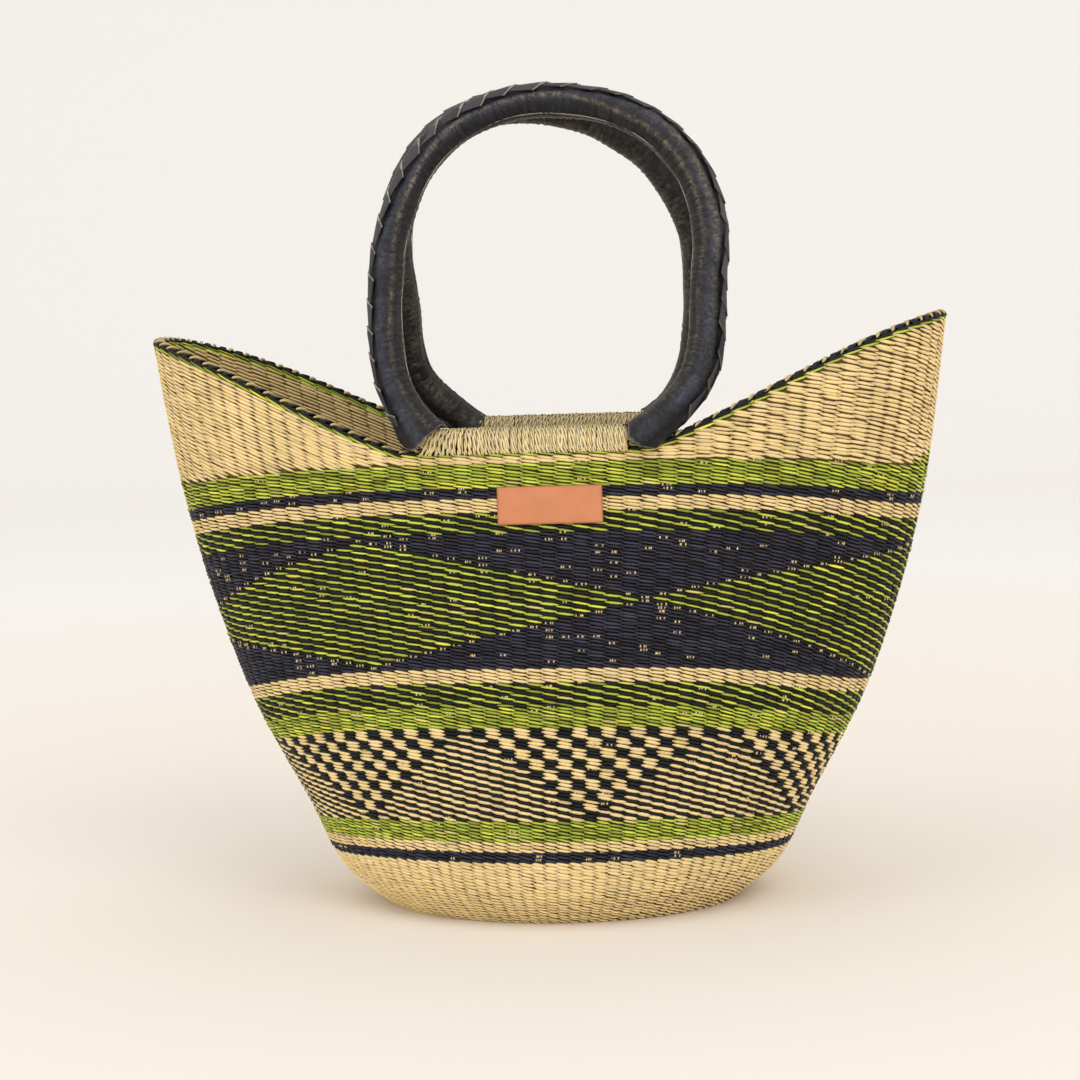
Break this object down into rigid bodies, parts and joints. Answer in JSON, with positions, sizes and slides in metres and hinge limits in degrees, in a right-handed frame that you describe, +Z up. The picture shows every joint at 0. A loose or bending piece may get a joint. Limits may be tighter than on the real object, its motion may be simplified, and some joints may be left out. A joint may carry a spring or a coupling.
{
  "type": "straw beach bag",
  "caption": "Oval twined-straw beach bag with raised wing ends, an open mouth and two leather-wrapped ring handles that tilt on the rim.",
  "frame": {"origin": "on the floor under the middle of the base", "axes": "+X along the bag towards the right wing, +Y to the back, +Z up"},
  "size_m": [0.4794, 0.2052, 0.4901],
  "materials": {
    "natural_straw": "matt twined grass straw, undyed",
    "navy_straw": "matt twined grass straw, dyed near black",
    "green_straw": "matt twined grass straw, dyed lime green",
    "striped_straw": "green and black twined straw in slanting stripes",
    "check_straw": "natural and black twined straw in checks and stripes",
    "diamond_straw": "green and black diamonds on navy twined straw",
    "border_straw": "black twisted grass over pale stake ends",
    "lashing_straw": "twisted natural grass strands",
    "handle_grass": "bundled grass",
    "handle_leather": "semi-gloss black goat leather, rubbed brown on the ridges",
    "lacing_leather": "leather thong",
    "patch_leather": "smooth tan leather, satin"
  },
  "bodies": {
    "bag": {"base_panel": "natural_straw", "foot_band": "natural_straw", "lower_navy_stripe": "navy_straw", "lower_tan_stripe": "natural_straw", "lower_green_band": "green_straw", "check_band": "check_straw", "middle_green_band": "green_straw", "lower_striped_band": "striped_straw", "middle_tan_stripe": "natural_straw", "diamond_band": "diamond_straw", "upper_striped_band": "striped_straw", "upper_tan_stripe": "natural_straw", "upper_navy_stripe": "navy_straw", "upper_green_band": "green_straw", "wing_band": "natural_straw", "rim_green_row": "green_straw", "rim_border": "border_straw", "front_lashing": "lashing_straw", "back_lashing": "lashing_straw", "label_patch": "patch_leather"},
    "front_handle": {"front_handle_core": "handle_grass", "front_handle_leather": "handle_leather", "front_handle_lacing": "lacing_leather"},
    "back_handle": {"back_handle_core": "handle_grass", "back_handle_leather": "handle_leather", "back_handle_lacing": "lacing_leather"}
  },
  "joints": [
    {"name": "front_handle_tilt", "type": "hinge", "parent": "bag", "child": "front_handle", "pos_m": [0.005, -0.08723, 0.28335], "axis": [1, 0, 0], "range_deg": [0, 50]},
    {"name": "back_handle_tilt", "type": "hinge", "parent": "bag", "child": "back_handle", "pos_m": [0, 0.08723, 0.28335], "axis": [-1, 0, 0], "range_deg": [0, 50]}
  ]
}
